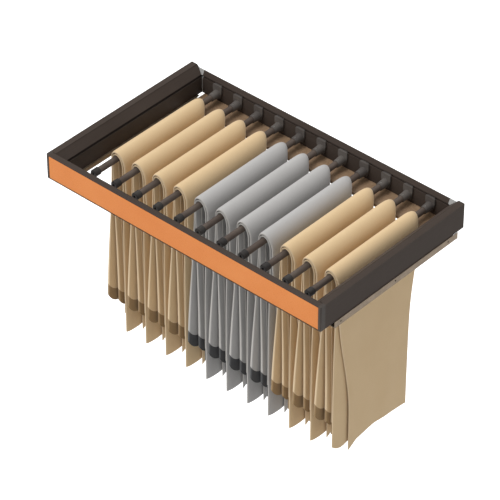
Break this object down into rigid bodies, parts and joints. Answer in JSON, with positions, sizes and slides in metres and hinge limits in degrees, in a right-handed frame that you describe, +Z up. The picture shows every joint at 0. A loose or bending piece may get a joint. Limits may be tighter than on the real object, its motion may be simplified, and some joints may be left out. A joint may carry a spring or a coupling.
{
  "type": "pull out trouser rack",
  "caption": "Pull-out wardrobe frame with rods running front to back for folded trousers, leather-faced front, on full-extension ball-bearing side runners.",
  "frame": {"origin": "middle of the rack's front edge at the level of the frame's underside, rack closed", "axes": "+X across the wardrobe to the right seen from the front, +Y from the front to the back of the wardrobe, +Z up"},
  "size_m": [0.864, 0.511, 0.59],
  "materials": {
    "bronze_aluminium": "satin anodised, dark bronze",
    "bronze_casting": "satin powder coat to match the profiles",
    "panel_board": "raw fibreboard",
    "orange_leather": "fine grained, semi-matt",
    "base_board": "brown wood-grain melamine",
    "rod_coating": "matt non-slip coating",
    "dark_plastic": "matt moulded",
    "bracket_plastic": "matt moulded, bronze grey",
    "grey_plastic": "light grey moulded",
    "zinc_steel": "zinc plated",
    "bearing_steel": "bright",
    "screw_steel": "dark zinc",
    "tan_twill": "cotton twill",
    "grey_twill": "wool twill"
  },
  "bodies": {
    "cabinet_runners": {"left_cabinet_member": "zinc_steel", "right_cabinet_member": "zinc_steel", "left_damper": "dark_plastic", "right_damper": "dark_plastic"},
    "left_intermediate": {"left_intermediate_member": "zinc_steel"},
    "right_intermediate": {"right_intermediate_member": "zinc_steel"},
    "left_lower_cage": {"left_lower_ball_cage": "bearing_steel"},
    "right_lower_cage": {"right_lower_ball_cage": "bearing_steel"},
    "left_upper_cage": {"left_upper_ball_cage": "bearing_steel"},
    "right_upper_cage": {"right_upper_ball_cage": "bearing_steel"},
    "left_lever": {"left_release_lever": "grey_plastic"},
    "right_lever": {"right_release_lever": "grey_plastic"},
    "rack": {"front_profile": "bronze_aluminium", "front_panel_board": "panel_board", "leather_facing": "orange_leather", "rear_profile": "bronze_aluminium", "rear_base_board": "base_board", "rear_end_caps": "dark_plastic", "rod_brackets": "bracket_plastic", "rod_end_caps": "dark_plastic", "rod_screws": "screw_steel", "frame_screws": "screw_steel", "board_screws": "screw_steel", "runner_screws": "screw_steel", "left_side_profile": "bronze_aluminium", "right_side_profile": "bronze_aluminium", "left_front_corner_bracket": "bronze_casting", "right_front_corner_bracket": "bronze_casting", "left_rear_corner_connector": "grey_plastic", "right_rear_corner_connector": "grey_plastic", "left_drawer_member": "zinc_steel", "right_drawer_member": "zinc_steel", "left_front_clip": "dark_plastic", "right_front_clip": "dark_plastic", "trouser_rod_01": "rod_coating", "trouser_rod_02": "rod_coating", "trouser_rod_03": "rod_coating", "trouser_rod_04": "rod_coating", "trouser_rod_05": "rod_coating", "trouser_rod_06": "rod_coating", "trouser_rod_07": "rod_coating", "trouser_rod_08": "rod_coating", "trouser_rod_09": "rod_coating", "trouser_rod_10": "rod_coating", "trouser_rod_11": "rod_coating", "trousers_01": "tan_twill", "trousers_02": "tan_twill", "trousers_03": "tan_twill", "trousers_04": "tan_twill", "trousers_05": "grey_twill", "trousers_06": "grey_twill", "trousers_07": "grey_twill", "trousers_08": "grey_twill", "trousers_09": "tan_twill", "trousers_10": "tan_twill", "trousers_11": "tan_twill"}
  },
  "joints": [
    {"name": "rack_slide", "type": "slide", "parent": "cabinet_runners", "child": "rack", "axis": [0, -1, 0], "range_m": [0, 0.43]},
    {"name": "left_intermediate_slide", "type": "slide", "parent": "cabinet_runners", "child": "left_intermediate", "axis": [0, -1, 0], "range_m": [0, 0.215]},
    {"name": "left_lower_cage_slide", "type": "slide", "parent": "cabinet_runners", "child": "left_lower_cage", "axis": [0, -1, 0], "range_m": [0, 0.1075]},
    {"name": "left_upper_cage_slide", "type": "slide", "parent": "cabinet_runners", "child": "left_upper_cage", "axis": [0, -1, 0], "range_m": [0, 0.3225]},
    {"name": "right_intermediate_slide", "type": "slide", "parent": "cabinet_runners", "child": "right_intermediate", "axis": [0, -1, 0], "range_m": [0, 0.215]},
    {"name": "right_lower_cage_slide", "type": "slide", "parent": "cabinet_runners", "child": "right_lower_cage", "axis": [0, -1, 0], "range_m": [0, 0.1075]},
    {"name": "right_upper_cage_slide", "type": "slide", "parent": "cabinet_runners", "child": "right_upper_cage", "axis": [0, -1, 0], "range_m": [0, 0.3225]},
    {"name": "left_lever_turn", "type": "hinge", "parent": "rack", "child": "left_lever", "pos_m": [-0.408, 0.028, -0.007], "axis": [0, 0, -1], "range_deg": [0, 10], "stiffness_Nm_per_rad": 0.08},
    {"name": "right_lever_turn", "type": "hinge", "parent": "rack", "child": "right_lever", "pos_m": [0.408, 0.028, -0.007], "axis": [0, 0, 1], "range_deg": [0, 10], "stiffness_Nm_per_rad": 0.08}
  ],
  "couplings": [
    {"joint": "left_intermediate_slide", "follows": "rack_slide", "ratio": 0.5},
    {"joint": "left_lower_cage_slide", "follows": "rack_slide", "ratio": 0.25},
    {"joint": "left_upper_cage_slide", "follows": "rack_slide", "ratio": 0.75},
    {"joint": "right_intermediate_slide", "follows": "rack_slide", "ratio": 0.5},
    {"joint": "right_lower_cage_slide", "follows": "rack_slide", "ratio": 0.25},
    {"joint": "right_upper_cage_slide", "follows": "rack_slide", "ratio": 0.75}
  ]
}
